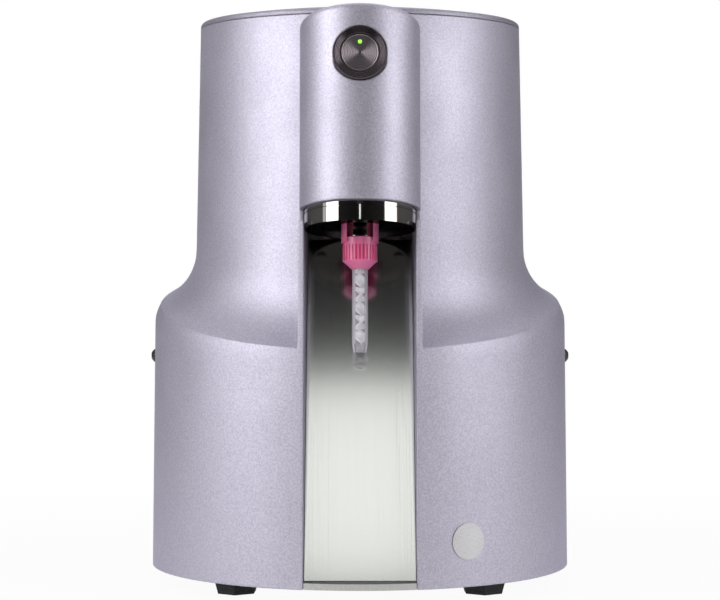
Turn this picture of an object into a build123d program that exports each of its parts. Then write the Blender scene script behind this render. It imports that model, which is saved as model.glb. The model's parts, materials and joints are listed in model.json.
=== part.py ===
from build123d import *
from math import acos, asin, cos, pi, radians, sin, sqrt, tan
import os

os.makedirs("parts", exist_ok=True)

# A bench machine that pumps two silicone components through a disposable mixer: a round
# housing under a sloping lid, two bottles on a deck, a geared pair of pumps below them, and
# a round head with a button and a polished outlet. Lengths are millimetres, the body axis is
# vertical, the front faces -Y and the feet stand on z = 0.

# Housing, all measured from the body axis and the table
foot_height = 9.0
body_radius = 115.0
neck_radius = body_radius - 22.2
rim_radius = neck_radius - 1.4
wall = 3.0
slope = 0.32  # fall of the shoulder towards the front, per unit length
lid_slope = 0.255  # fall of the lid, a little less
crease_height = 156.2  # where the shoulder meets the lower body, taken on the body axis
flare_height = crease_height + 30.8  # where the straight neck starts to flare
side_round_depth = 8.2  # how far the rounded shoulder reaches below the crease at the sides
side_round_inset = 2.5  # how far the crease draws in at the sides
seam_height = flare_height + 124.4  # top of the housing wall on the body axis
rear_flat = body_radius - 19.0  # distance from the body axis to the flat back
lid_gap = 0.3
fit_gap = 0.3  # clearance between pieces that sit side by side

# Lid
lid_rim = 3.0
dome_rise = 7.5
lid_wall = 3.0
knuckle_radius = 4.0
hinge_y = rim_radius + knuckle_radius + 0.6
hinge_drop = 5.0  # hinge axis below the seam at the back
hinge_pin_radius = 1.6
knuckle_half = 12.0
ear_width = 8.0

# Base
base_thickness = 3.0
base_top = foot_height + base_thickness
foot_top_flats = 22.5
foot_bottom_flats = 18.0
foot_x = body_radius - 52.7
foot_y = body_radius - 53.0

# Motor, gear train and pumps, from the base upwards
pump_y = 5.0
motor_radius = 21.0
motor_foot = base_top + 14.0
motor_top = motor_foot + 66.0
motor_flange = 4.0
train_module = 2.0
pinion_teeth = 12
wheel_teeth = 27
train_foot = motor_top + motor_flange + 4.0
train_width = 8.0
shaft_radius = 4.0
running_gap = 0.05
drive_plate_thickness = 4.0
drive_plate_foot = train_foot + train_width + 12.0
plate_top = drive_plate_foot + drive_plate_thickness
pump_module = 2.0
pump_teeth = 10
pump_gear_width = 15.6
pump_floor = 4.0
pump_cover = 10.0
cavity_foot = plate_top + pump_floor
pump_top = cavity_foot + pump_gear_width + 0.4
cover_top = pump_top + pump_cover
post_radius = 5.0

# Supply bottles and their deck
bottle_x = 41.5
bottle_y = 5.0
bottle_radius = 39.5
bottle_neck_radius = 12.0
socket_radius = 16.0
socket_flange = 20.0
socket_foot = cover_top + 24.0
deck_foot = socket_foot + 7.0
deck_thickness = 4.0
deck_top = deck_foot + deck_thickness
deck_radius = neck_radius - 4.8
socket_seat = deck_foot + 0.5
bottle_neck_foot = socket_seat + fit_gap
bottle_shoulder = bottle_neck_foot + 21.2
bottle_top = bottle_shoulder + 89.0
feed_radius = 3.5
feed_bore = 2.2

# Outlet ring and the head above it
ring_radius = 26.9
ring_foot = 178.6
ring_top = ring_foot + 10.2
ring_lip = 1.2
ring_groove = ring_foot + 6.8
outlet_plate_foot = ring_foot + 1.5
collar_pocket_radius = 11.5
collar_pocket_top = ring_foot + 5.4
head_radius = ring_radius + 2.3
head_y = 15.6 - body_radius
head_wall = 2.0
head_edge = ring_top - 0.8
head_wing_foot = head_edge - 6.6
head_top = head_edge + 91.8
channel_half = head_radius - 2.7
panel_foot_y = 10.0 - body_radius
panel_head_y = head_y + ring_radius + fit_gap
panel_thickness = 1.5

# Nose and mixer, from the outlet downwards
nose_radius = 6.3
nose_tip_radius = 5.0
nose_step = ring_foot + 0.5
nose_foot = nose_step - 4.6
collar_radius = 8.0
prong_radius = 9.05
collar_top = nose_foot + 8.9
collar_shoulder = nose_foot - 2.3
rib_foot = collar_shoulder - 9.1
collar_foot = rib_foot - 3.7
rib_count = 30
nozzle_radius = 3.7
nozzle_bore = 2.85
nozzle_tip_radius = 3.05
nozzle_foot = collar_foot - 39.8
tube_top = nose_foot - 6.5
mixer_pitch = 6.7
mixer_blade = 0.9
element_count = int((tube_top - nozzle_foot - 5) / mixer_pitch)

# Push button
button_z = head_top - 24.5
bezel_radius = 12.7
bezel_front = head_y - head_radius - 0.8
button_seat = bezel_front + 3.7
cap_radius = 8.6
cap_clearance = 0.2
led_radius = 1.2
led_rise = 5.0

stretch = sqrt(1 + slope**2)
lid_stretch = sqrt(1 + lid_slope**2)


def sloping_plane(axis_height, fall=slope):
    """The plane that falls towards the front and crosses the body axis at this height."""
    return Plane(
        origin=(0, 0, axis_height),
        x_dir=(1, 0, 0),
        z_dir=(0, -fall, 1),
    )


def rise_at(y, fall=slope):
    """How much higher a sloping plane lies at this y than on the body axis."""
    return fall * y


def flare_sections(count):
    """Radius and axis height of sections spaced evenly along the concave arc of the flare."""
    reach = body_radius - neck_radius
    drop = flare_height - crease_height
    arc = (reach**2 + drop**2) / (2 * reach)
    turn = asin(drop / arc)
    for step in range(count + 1):
        angle = turn * step / count
        yield neck_radius + arc * (1 - cos(angle)), flare_height - arc * sin(angle)


def body_form(inset, foot, top):
    """The body's outline as a solid, drawn in by the inset: lower drum, shoulder and neck."""
    crease_side = body_radius - side_round_inset - inset
    taper = (rim_radius - neck_radius) / (seam_height - flare_height)
    top_radius = neck_radius + taper * (top - flare_height)
    with BuildPart() as form:
        with BuildSketch(Plane.XY.offset(foot)):
            Circle(body_radius - inset)
        extrude(amount=crease_height + rise_at(body_radius) - foot)
        split(bisect_by=sloping_plane(crease_height - side_round_depth), keep=Keep.BOTTOM)
        for depth_share, inset_share in [(1.0, 0.0), (0.67, 0.12), (0.33, 0.46), (0.0, 1.0)]:
            side = body_radius - side_round_inset * inset_share - inset
            with BuildSketch(sloping_plane(crease_height - side_round_depth * depth_share)):
                Ellipse(side, (body_radius - inset) * stretch)
        loft()
        for radius, level in list(flare_sections(8))[:-1]:
            with BuildSketch(sloping_plane(level)):
                Ellipse(radius - inset, (radius - inset) * stretch)
        with BuildSketch(sloping_plane(crease_height)):
            Ellipse(crease_side, (body_radius - inset) * stretch)
        loft()
        neck_ends = [(neck_radius, flare_height, slope, stretch), (top_radius, top, lid_slope, lid_stretch)]
        for radius, level, fall, lengthening in neck_ends:
            with BuildSketch(sloping_plane(level, fall)):
                Ellipse(radius - inset, (radius - inset) * lengthening)
        loft(ruled=True)
    return form.part


def upright_box(x_low, x_high, y_low, y_high, z_low, z_high):
    """A box given by its limits, kept out of whatever part is being built."""
    middle = ((x_low + x_high) / 2, (y_low + y_high) / 2, (z_low + z_high) / 2)
    return Pos(*middle) * Box(x_high - x_low, y_high - y_low, z_high - z_low, mode=Mode.PRIVATE)


upwards = (Align.CENTER, Align.CENTER, Align.MIN)
downwards = (Align.CENTER, Align.CENTER, Align.MAX)
backwards = (Align.CENTER, Align.MIN, Align.CENTER)

# Everything below is made about the body axis. The finished piece is moved so that the origin
# lies under the middle of the machine's outline, between the button and the hinge.
frame_shift = -(bezel_front + hinge_y + knuckle_radius) / 2
hinge_z = seam_height + rise_at(rim_radius, lid_slope) - hinge_drop


def keep_piece(piece, name):
    """Labels a finished piece, moves it to the machine's frame and writes it."""
    piece.label = name
    export_step(Pos(0, frame_shift, 0) * piece, f"parts/{name}.step")


# Housing shell with the dispensing channel
rear_opening_half = 49.0
rear_opening_foot = 20.0
rear_opening_top = crease_height + 3.8
channel_wall = head_radius - channel_half
window_top = head_top - 17.0
rear_screw_x = 53.0
rear_screw_heights = (30.0, rear_opening_top - 10.0)
rear_screw_radius = 1.6
side_screw_turn = 10.0  # how far forward of the side the cover screws sit, in degrees
side_screw_z = 122.6
side_screw_radius = 1.9
thread_gap = 0.05  # between a screw and the hole it is driven into


def side_plane(turn, reach):
    """A plane facing outwards on the side of the drum, at a screw."""
    outwards = (cos(radians(turn)), sin(radians(turn)), 0)
    return Plane((0, 0, side_screw_z), x_dir=(0, 0, 1), z_dir=outwards).offset(reach)


with BuildPart() as housing:
    add(body_form(0, foot_height, seam_height))
    split(bisect_by=Plane.XZ.offset(-rear_flat), keep=Keep.TOP)
    with BuildPart(mode=Mode.PRIVATE) as hollow:
        add(body_form(wall, foot_height, seam_height))
        split(bisect_by=Plane.XZ.offset(wall - rear_flat), keep=Keep.TOP)
    add(hollow.part, mode=Mode.SUBTRACT)
    for side in (-1, 1):
        with BuildSketch(Plane.XY.offset(base_top)):
            with Locations((side * (channel_half + channel_wall / 2), (panel_head_y - body_radius) / 2)):
                Rectangle(channel_wall, body_radius + panel_head_y)
            Circle(body_radius, mode=Mode.INTERSECT)
        extrude(amount=head_wing_foot - fit_gap - base_top)
    slot = upright_box(-channel_half, channel_half, -body_radius - wall, panel_head_y + 15, 0, window_top)
    add(slot, mode=Mode.SUBTRACT)
    with BuildSketch(Plane.XY.offset(ring_foot - fit_gap)):
        with Locations((0, head_y)):
            Circle(ring_radius + fit_gap)
    extrude(amount=ring_top - ring_foot, mode=Mode.SUBTRACT)
    rear_hole = upright_box(
        -rear_opening_half, rear_opening_half, rear_flat - 2 * wall, rear_flat + wall,
        rear_opening_foot, rear_opening_top,
    )
    add(rear_hole, mode=Mode.SUBTRACT)
    with Locations(Plane.XZ.offset(-rear_flat)):
        with Locations([(x, z) for x in (-rear_screw_x, rear_screw_x) for z in rear_screw_heights]):
            Cylinder(rear_screw_radius, 3 * wall, mode=Mode.SUBTRACT)
    for turn in (-side_screw_turn, 180 + side_screw_turn):
        with Locations(side_plane(turn, body_radius)):
            Cylinder(side_screw_radius + thread_gap, 4 * wall, mode=Mode.SUBTRACT)
keep_piece(housing.part, "housing")

# Base plate, feet and their screws
sill_half = channel_half - fit_gap
sill_front = body_radius - 0.5
plate_radius = body_radius - wall - fit_gap
foot_screw_radius = 2.0
foot_screw_foot = 3.0
foot_places = [(x, y) for x in (-foot_x, foot_x) for y in (-foot_y, foot_y)]

with BuildPart() as base_plate:
    with BuildSketch(Plane.XY.offset(foot_height)):
        Circle(plate_radius)
        with Locations((0, rear_flat - wall - fit_gap + plate_radius)):
            Rectangle(2 * plate_radius, 2 * plate_radius, mode=Mode.SUBTRACT)
        with BuildSketch(mode=Mode.PRIVATE) as sill:
            Circle(sill_front)
            with Locations((0, -sill_front)):
                Rectangle(2 * sill_half, sill_front, mode=Mode.INTERSECT)
        add(sill.sketch)
        with Locations(foot_places):
            Circle(foot_screw_radius + thread_gap, mode=Mode.SUBTRACT)
    extrude(amount=base_thickness)
keep_piece(base_plate.part, "base_plate")

with BuildPart() as feet:
    for place in foot_places:
        for flats, level in [(foot_bottom_flats, 0), (foot_top_flats, foot_height)]:
            with BuildSketch(Plane.XY.offset(level)):
                with Locations(place):
                    RegularPolygon(flats / 2, 6, major_radius=False, rotation=30)
        loft()
    with Locations([(*place, foot_height) for place in foot_places]):
        Hole(foot_screw_radius + thread_gap, foot_height - foot_screw_foot + thread_gap)
keep_piece(feet.part, "feet")

with BuildPart() as foot_screws:
    with BuildSketch(Plane.XY.offset(foot_screw_foot)):
        with Locations(foot_places):
            Circle(foot_screw_radius)
    extrude(amount=base_top - foot_screw_foot)
    with BuildSketch(Plane.XY.offset(base_top)):
        with Locations(foot_places):
            Circle(2 * foot_screw_radius)
            RegularPolygon(foot_screw_radius, 6, mode=Mode.SUBTRACT)
    extrude(amount=2.2)
    with BuildSketch(Plane.XY.offset(base_top)):
        with Locations(foot_places):
            Circle(2 * foot_screw_radius)
    extrude(amount=0.8)
keep_piece(foot_screws.part, "foot_screws")

# Screws that hold the housing to two upright brackets
side_head_radius = 3.7
side_head_rise = 2.1
bracket_outer = plate_radius - 0.5
bracket_width = 14.0

with BuildPart() as side_screws:
    for turn in (-side_screw_turn, 180 + side_screw_turn):
        with Locations(side_plane(turn, body_radius - 9)):
            Cylinder(side_screw_radius, 9.5, align=upwards)
        dome = (side_head_radius**2 + side_head_rise**2) / (2 * side_head_rise)
        with BuildPart(side_plane(turn, body_radius + 0.02), mode=Mode.PRIVATE) as head:
            Cylinder(side_head_radius, side_head_rise, align=upwards)
            with Locations((0, 0, side_head_rise - dome)):
                Sphere(dome, mode=Mode.INTERSECT)
            with BuildSketch(side_plane(turn, body_radius + 2 * side_head_rise)):
                RegularPolygon(1.5, 6)
            extrude(amount=-side_head_rise - 1, mode=Mode.SUBTRACT)
        add(head.part)
keep_piece(side_screws.part, "side_screws")

with BuildPart() as side_brackets:
    for turn in (-side_screw_turn, 180 + side_screw_turn):
        outwards = Plane((0, 0, base_top), x_dir=(cos(radians(turn)), sin(radians(turn)), 0), z_dir=(0, 0, 1))
        with Locations(outwards):
            with Locations((bracket_outer - 1.5, 0, 0)):
                Box(3, bracket_width, side_screw_z - base_top + 8, align=upwards)
            with Locations((bracket_outer - 10, 0, 0)):
                Box(20, bracket_width, 3, align=upwards)
        with Locations(side_plane(turn, bracket_outer)):
            Cylinder(side_screw_radius + thread_gap, 10, mode=Mode.SUBTRACT)
keep_piece(side_brackets.part, "side_brackets")

# Splash panel that closes the dispensing channel
with BuildPart() as splash_panel:
    with BuildSketch(Plane.YZ.offset(-sill_half)):
        with BuildLine():
            Polyline(
                (panel_foot_y, base_top + 0.2),
                (panel_head_y, ring_foot - 0.4),
                (panel_head_y + panel_thickness, ring_foot - 0.4),
                (panel_foot_y + panel_thickness, base_top + 0.2),
                close=True,
            )
        make_face()
    extrude(amount=2 * sill_half)
keep_piece(splash_panel.part, "splash_panel")

# Head cover over the outlet, with the button pocket
head_roof = 3.0
pocket_radius = bezel_radius + 0.2
boss_radius = 15.0
boss_back = button_seat + 4.7
barrel_radius = 9.4
barrel_hole = barrel_radius + 0.1

with BuildPart() as head_cover:
    with BuildSketch(Plane.XY.offset(head_edge)):
        with Locations((0, head_y)):
            Circle(head_radius)
        with Locations((0, head_y / 2)):
            Rectangle(2 * head_radius, -head_y)
    extrude(amount=head_top - head_edge)
    fillet(faces().sort_by(Axis.Z)[-1].edges().filter_by(lambda edge: edge.center().Y < -1), 4)
    with BuildSketch(Plane.XY.offset(head_edge)):
        with Locations((0, head_y)):
            Circle(head_radius - head_wall)
        with Locations((0, head_y / 2)):
            Rectangle(2 * (head_radius - head_wall), -head_y)
    extrude(amount=head_top - head_roof - head_edge, mode=Mode.SUBTRACT)
    for side in (-1, 1):
        with Locations((side * (head_radius - head_wall / 2), head_y, head_wing_foot)):
            Box(head_wall, -head_y, head_edge - head_wing_foot, align=(Align.CENTER, Align.MIN, Align.MIN))
    with BuildSketch(Plane.XZ.offset(-boss_back)):
        with Locations((0, button_z)):
            Circle(boss_radius)
    extrude(amount=boss_back - button_seat)
    with BuildSketch(Plane.XY.offset(head_wing_foot)):
        with Locations((0, head_y)):
            Circle(head_radius)
        with Locations((0, head_y / 2)):
            Rectangle(2 * head_radius, -head_y)
    extrude(amount=head_top - head_wing_foot, mode=Mode.INTERSECT)
    with BuildSketch(Plane.XZ.offset(-button_seat)):
        with Locations((0, button_z)):
            Circle(pocket_radius)
    extrude(amount=2 * head_wall + 3, mode=Mode.SUBTRACT)
    with BuildSketch(Plane.XZ.offset(-boss_back - 1)):
        with Locations((0, button_z)):
            Circle(barrel_hole)
    extrude(amount=2 * head_wall + 5, mode=Mode.SUBTRACT)
    add(body_form(-fit_gap, foot_height, seam_height), mode=Mode.SUBTRACT)
    head_rear = upright_box(-head_radius - 1, head_radius + 1, -70, 1, head_wing_foot - 1, head_top + 1)
    add(head_rear, mode=Mode.SUBTRACT)
keep_piece(head_cover.part, "head_cover")

# Lid with its hinge
lid_foot = seam_height + lid_gap
rim_reach = rim_radius * lid_stretch
dome_sphere = (rim_radius**2 + dome_rise**2) / (2 * dome_rise)
lug_foot = seam_height + rise_at(rim_radius, lid_slope) + lid_gap
lug_top = lug_foot + 1.2

with BuildPart() as lid:
    with BuildSketch(Plane.XY.offset(lid_foot - rim_reach)):
        Circle(rim_radius)
    extrude(amount=3 * rim_reach)
    split(bisect_by=sloping_plane(lid_foot, lid_slope), keep=Keep.TOP)
    with Locations(sloping_plane(lid_foot + lid_rim, lid_slope).offset(dome_rise - dome_sphere)):
        Sphere(dome_sphere, mode=Mode.INTERSECT)
    round_edges = edges().filter_by(lambda edge: edge.is_closed and edge.length > rim_radius)
    fillet(round_edges.sort_by(lambda edge: edge.center().Z - rise_at(edge.center().Y, lid_slope))[-1:], 2.2)
    with BuildPart(mode=Mode.PRIVATE) as lid_hollow:
        with BuildSketch(Plane.XY.offset(lid_foot - rim_reach)):
            Circle(rim_radius - lid_wall)
        extrude(amount=3 * rim_reach)
        with Locations(sloping_plane(lid_foot + lid_rim, lid_slope).offset(dome_rise - dome_sphere)):
            Sphere(dome_sphere - lid_wall, mode=Mode.INTERSECT)
    add(lid_hollow.part, mode=Mode.SUBTRACT)
    with BuildSketch(Plane.YZ.offset(-knuckle_half)):
        with BuildLine():
            Polyline(
                (rim_radius - 2, lug_foot),
                (hinge_y - knuckle_radius, lug_foot),
                (hinge_y - knuckle_radius, hinge_z),
                (hinge_y + knuckle_radius, hinge_z),
                (hinge_y + knuckle_radius - 1, hinge_z + 3.5),
                (hinge_y - knuckle_radius + 1, lug_top),
                (rim_radius - 2, lug_top),
                close=True,
            )
        make_face()
        with Locations((hinge_y, hinge_z)):
            Circle(knuckle_radius)
            Circle(hinge_pin_radius + thread_gap, mode=Mode.SUBTRACT)
    extrude(amount=2 * knuckle_half)
keep_piece(lid.part, "lid")

bracket_half = knuckle_half + ear_width
with BuildPart() as lid_hinge_bracket:
    with BuildSketch(Plane.YZ.offset(-bracket_half)):
        with BuildLine():
            Polyline(
                (rim_radius - 6, hinge_z - 20),
                (rim_radius + 3, hinge_z - 20),
                (hinge_y + knuckle_radius, hinge_z - 6),
                (hinge_y + knuckle_radius, hinge_z),
                (hinge_y - knuckle_radius, hinge_z),
                (rim_radius - 6, hinge_z - 6),
                close=True,
            )
        make_face()
        with Locations((hinge_y, hinge_z)):
            Circle(knuckle_radius)
            Circle(hinge_pin_radius + thread_gap, mode=Mode.SUBTRACT)
    extrude(amount=2 * bracket_half)
    with Locations((0, hinge_y, hinge_z)):
        Box(2 * (knuckle_half + fit_gap), 12, 11, mode=Mode.SUBTRACT)
    add(body_form(-thread_gap, foot_height, seam_height), mode=Mode.SUBTRACT)
keep_piece(lid_hinge_bracket.part, "lid_hinge_bracket")

with BuildPart() as lid_hinge_pin:
    with Locations(Plane.YZ):
        with Locations((hinge_y, hinge_z)):
            Cylinder(hinge_pin_radius, 2 * bracket_half)
    chamfer(edges(), 0.4)
keep_piece(lid_hinge_pin.part, "lid_hinge_pin")

# Chromed outlet flange with the nose that takes the mixer
plate_screw_x = 20.5
plate_screw_y = head_y + 8.4
flow_x = 2.2
flow_radius = 1.4

with BuildPart() as outlet_flange:
    with Locations((0, head_y, ring_foot)):
        Cylinder(ring_radius, ring_top - ring_foot, align=upwards)
        Cylinder(ring_radius - ring_lip, outlet_plate_foot - ring_foot,
                 align=upwards, mode=Mode.SUBTRACT)
        Cylinder(collar_pocket_radius, collar_pocket_top - ring_foot,
                 align=upwards, mode=Mode.SUBTRACT)
        Cylinder(nose_radius + thread_gap, ring_top - ring_foot,
                 align=upwards, mode=Mode.SUBTRACT)
    with BuildSketch(Plane.XY.offset(ring_groove)):
        with Locations((0, head_y)):
            Circle(ring_radius)
            Circle(ring_radius - 0.4, mode=Mode.SUBTRACT)
    extrude(amount=0.5, mode=Mode.SUBTRACT)
    with Locations((0, head_y - ring_radius, ring_foot)):
        Box(0.5, 0.6, ring_groove + 0.25 - ring_foot, align=upwards, mode=Mode.SUBTRACT)
    with Locations([(side * plate_screw_x, plate_screw_y, outlet_plate_foot) for side in (-1, 1)]):
        Cylinder(1.5 + thread_gap, 6, align=upwards, mode=Mode.SUBTRACT)
keep_piece(outlet_flange.part, "outlet_flange")

with BuildPart() as plate_screws:
    with Locations([(side * plate_screw_x, plate_screw_y, outlet_plate_foot) for side in (-1, 1)]):
        Cylinder(2.6, 1.2, align=downwards)
        Cylinder(1.5, 6, align=upwards)
    with Locations([(side * plate_screw_x, plate_screw_y, outlet_plate_foot - 1.2) for side in (-1, 1)]):
        Box(3.6, 0.7, 1.2, mode=Mode.SUBTRACT)
        Box(0.7, 3.6, 1.2, mode=Mode.SUBTRACT)
keep_piece(plate_screws.part, "plate_screws")

with BuildPart() as outlet_nose:
    with BuildSketch(Plane.XY.offset(nose_step)):
        with Locations((0, head_y)):
            Circle(nose_radius)
    extrude(amount=ring_top - nose_step)
    for radius, level in [(nose_radius - 0.5, nose_step), (nose_tip_radius, nose_foot)]:
        with BuildSketch(Plane.XY.offset(level)):
            with Locations((0, head_y)):
                Circle(radius)
    loft()
    with BuildSketch(Plane.XY.offset(nose_foot)):
        with Locations((-flow_x, head_y), (flow_x, head_y)):
            Circle(flow_radius)
    extrude(amount=ring_top - nose_foot, mode=Mode.SUBTRACT)
keep_piece(outlet_nose.part, "outlet_nose")

# Static mixer: collar, clear tube and the mixing element inside it
collar_foot_radius = nozzle_radius + 0.5
rib_rise = 0.35

with BuildPart() as mixer_collar:
    with BuildSketch(Plane.XY.offset(collar_shoulder)):
        with Locations((0, head_y)):
            Circle(prong_radius)
            Circle(nose_radius + 0.2, mode=Mode.SUBTRACT)
            Rectangle(2 * nose_radius - 0.2, 3 * prong_radius, mode=Mode.SUBTRACT)
    extrude(amount=collar_top - collar_shoulder)
    with BuildSketch(Plane.XY.offset(rib_foot)):
        with Locations((0, head_y)):
            Circle(collar_radius)
    extrude(amount=nose_foot - 0.3 - rib_foot)
    with BuildSketch(Plane.XY.offset(rib_foot)):
        with Locations((0, head_y)):
            with PolarLocations(collar_radius, rib_count):
                Rectangle(2 * rib_rise, 0.7)
    extrude(amount=collar_shoulder - 1.4 - rib_foot)
    for radius, level in [(collar_radius, rib_foot), (collar_foot_radius, collar_foot)]:
        with BuildSketch(Plane.XY.offset(level)):
            with Locations((0, head_y)):
                Circle(radius)
    loft()
    with BuildSketch(Plane.XY.offset(collar_foot)):
        with Locations((0, head_y)):
            Circle(nozzle_radius + thread_gap)
    extrude(amount=tube_top - collar_foot, mode=Mode.SUBTRACT)
    with BuildSketch(Plane.XY.offset(tube_top)):
        with Locations((0, head_y)):
            Circle(nozzle_bore)
    extrude(amount=20, mode=Mode.SUBTRACT)
keep_piece(mixer_collar.part, "mixer_collar")

with BuildPart() as mixer_tube:
    with BuildSketch(Plane.XY.offset(nozzle_foot + 4)):
        with Locations((0, head_y)):
            Circle(nozzle_radius)
    extrude(amount=tube_top - nozzle_foot - 4)
    for radius, level in [(nozzle_radius, nozzle_foot + 4), (nozzle_tip_radius, nozzle_foot)]:
        with BuildSketch(Plane.XY.offset(level)):
            with Locations((0, head_y)):
                Circle(radius)
    loft()
    with BuildSketch(Plane.XY.offset(nozzle_foot + 4)):
        with Locations((0, head_y)):
            Circle(nozzle_bore)
    extrude(amount=tube_top - nozzle_foot, mode=Mode.SUBTRACT)
    with BuildSketch(Plane.XY.offset(nozzle_foot)):
        with Locations((0, head_y)):
            Circle(1.6)
    extrude(amount=5, mode=Mode.SUBTRACT)
keep_piece(mixer_tube.part, "mixer_tube")

blade_half = nozzle_bore - 0.1
with BuildPart() as mixer_element:
    for step in range(element_count):
        level = nozzle_foot + 4.3 + mixer_pitch * step
        sides = (mixer_blade, 2 * blade_half) if step % 2 else (2 * blade_half, mixer_blade)
        blade = Face.make_rect(*sides, Plane((0, head_y, level)))
        twist = 180 if step % 2 else -180
        add(Solid.extrude_linear_with_rotation(blade, (0, head_y, level), (0, 0, mixer_pitch), twist))
keep_piece(mixer_element.part, "mixer_element")

# Button with its bezel, light and switch
cap_front = bezel_front + 0.4
cap_back = cap_front + 11.0
barrel_back = boss_back + 9.0
stem_radius = 3.0
cap_bore = cap_radius + cap_clearance


def button_disc(radius, front, back, mode=Mode.ADD, rise=0):
    """A round piece lying along the button axis between two depths."""
    with Locations(Plane.XZ.offset(-back)):
        with Locations((0, button_z + rise)):
            Cylinder(radius, back - front, align=upwards, mode=mode)


with BuildPart() as button_bezel:
    button_disc(bezel_radius, bezel_front, button_seat)
    fillet(faces().sort_by(Axis.Y)[0].edges(), 1.2)
    button_disc(barrel_radius, button_seat, barrel_back)
    button_disc(cap_bore, bezel_front, barrel_back, Mode.SUBTRACT)
keep_piece(button_bezel.part, "button_bezel")

with BuildPart() as button_cap:
    button_disc(cap_radius, cap_front, cap_back)
    fillet(faces().sort_by(Axis.Y)[0].edges(), 0.5)
    button_disc(stem_radius, cap_back, barrel_back + 1)
    button_disc(led_radius + thread_gap, cap_front, cap_front + 1, Mode.SUBTRACT, led_rise)
keep_piece(button_cap.part, "button_cap")

with BuildPart() as button_led:
    button_disc(led_radius, cap_front - 0.2, cap_front + 1, rise=led_rise)
    fillet(faces().sort_by(Axis.Y)[0].edges(), 0.15)
keep_piece(button_led.part, "button_led")

with BuildPart() as button_switch:
    button_disc(barrel_radius, barrel_back, barrel_back + 12)
    button_disc(stem_radius + 0.2, barrel_back, barrel_back + 4, Mode.SUBTRACT)
    with Locations([(side * 4, barrel_back + 15, button_z) for side in (-1, 1)]):
        Box(0.8, 6.2, 4)
keep_piece(button_switch.part, "button_switch")

with BuildPart() as button_nut:
    button_disc(12.4, boss_back, boss_back + 4)
    button_disc(barrel_radius + thread_gap, boss_back, boss_back + 4, Mode.SUBTRACT)
keep_piece(button_nut.part, "button_nut")

# Upright frame, head arm and outlet block
spine_half = 45.0
spine_rear = head_y + 41.4
spine_front = spine_rear - 4.0
arm_half = 20.0
arm_foot = ring_top + 27.2
arm_thickness = 4.0
arm_front = head_y - 17.1
block_radius = 18.0
block_half = 13.0
hose_radius = 3.0
hose_bore = 1.8
hose_in_x = 8.0
hose_level = cover_top + 17.0
hose_rise_y = spine_front - 5.0
hose_in_z = ring_top + 15.2
hose_pass_x = 21.0
hose_seat = 2.0
arm_screw_places = [(-12.0, head_y - 6.6), (12.0, head_y - 6.6)]

with BuildPart() as spine_frame:
    spine = upright_box(-spine_half, spine_half, spine_front, spine_rear, base_top, arm_foot)
    add(spine)
    ledge = upright_box(-spine_half, spine_half, spine_rear, spine_rear + 16, base_top, base_top + 4)
    add(ledge)
    with Locations(Plane.XZ.offset(-spine_rear)):
        with Locations([(side * hose_pass_x, hose_level) for side in (-1, 1)]):
            Cylinder(hose_radius + 1.5, 30, mode=Mode.SUBTRACT)
        with Locations((0, 60), (0, 120)):
            Cylinder(14, 30, mode=Mode.SUBTRACT)
keep_piece(spine_frame.part, "spine_frame")

with BuildPart() as head_arm:
    arm = upright_box(-arm_half, arm_half, arm_front, spine_rear, arm_foot, arm_foot + arm_thickness)
    add(arm)
    with Locations([(x, y, arm_foot) for x, y in arm_screw_places]):
        Cylinder(2 + thread_gap, 20, mode=Mode.SUBTRACT)
keep_piece(head_arm.part, "head_arm")

with BuildPart() as outlet_block:
    with BuildSketch(Plane.XY.offset(ring_top)):
        with Locations((0, head_y)):
            Circle(block_radius)
        with Locations((0, head_y + block_radius / 2)):
            Rectangle(2 * block_half, block_radius)
    extrude(amount=arm_foot - ring_top)
    with Locations([(x, y, arm_foot) for x, y in arm_screw_places]):
        Cylinder(2 + thread_gap, 20, mode=Mode.SUBTRACT)
    with Locations([(side * flow_x, head_y, ring_top) for side in (-1, 1)]):
        Cylinder(flow_radius, hose_in_z - ring_top, align=upwards, mode=Mode.SUBTRACT)
    for side in (-1, 1):
        gallery = upright_box(
            min(side * flow_x, side * hose_in_x) - 1, max(side * flow_x, side * hose_in_x) + 1,
            head_y - 1, head_y + 1, hose_in_z - 1, hose_in_z + 1,
        )
        add(gallery, mode=Mode.SUBTRACT)
        with Locations(Plane.XZ.offset(-head_y)):
            with Locations((side * hose_in_x, hose_in_z)):
                Cylinder(hose_bore, block_radius, align=downwards, mode=Mode.SUBTRACT)
        with Locations((side * hose_in_x, head_y + block_radius, hose_in_z)):
            Cylinder(hose_radius + thread_gap, 2 * hose_seat, rotation=(90, 0, 0), mode=Mode.SUBTRACT)
keep_piece(outlet_block.part, "outlet_block")

with BuildPart() as arm_screws:
    with Locations([(x, y, arm_foot + arm_thickness) for x, y in arm_screw_places]):
        Cylinder(2, 13, align=downwards)
        Cylinder(3.5, 3, align=upwards)
    with Locations([(x, y, arm_foot + arm_thickness + 3) for x, y in arm_screw_places]):
        Cylinder(1.6, 3, mode=Mode.SUBTRACT)
keep_piece(arm_screws.part, "arm_screws")

# Bottle deck, posts, sockets and the two bottles
deck_cut = spine_rear + 2
post_places = [(62.0, 50.0), (-62.0, 50.0), (70.0, -25.0), (-70.0, -25.0)]
post_shoulder = 1.5
bottle_places = [(-bottle_x, bottle_y), (bottle_x, bottle_y)]

with BuildPart() as bottle_deck:
    with BuildSketch(Plane.XY.offset(deck_foot)):
        Circle(deck_radius)
        with Locations((0, deck_cut - deck_radius)):
            Rectangle(2 * deck_radius, 2 * deck_radius, mode=Mode.SUBTRACT)
        with Locations(bottle_places):
            Circle(socket_radius + 0.1, mode=Mode.SUBTRACT)
    extrude(amount=deck_thickness)
keep_piece(bottle_deck.part, "bottle_deck")

with BuildPart() as deck_posts:
    with Locations([(x, y, base_top) for x, y in post_places]):
        Cylinder(post_radius, deck_foot - base_top, align=upwards)
        Cylinder(post_radius + post_shoulder, drive_plate_foot - base_top,
                 align=upwards)
keep_piece(deck_posts.part, "deck_posts")

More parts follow.
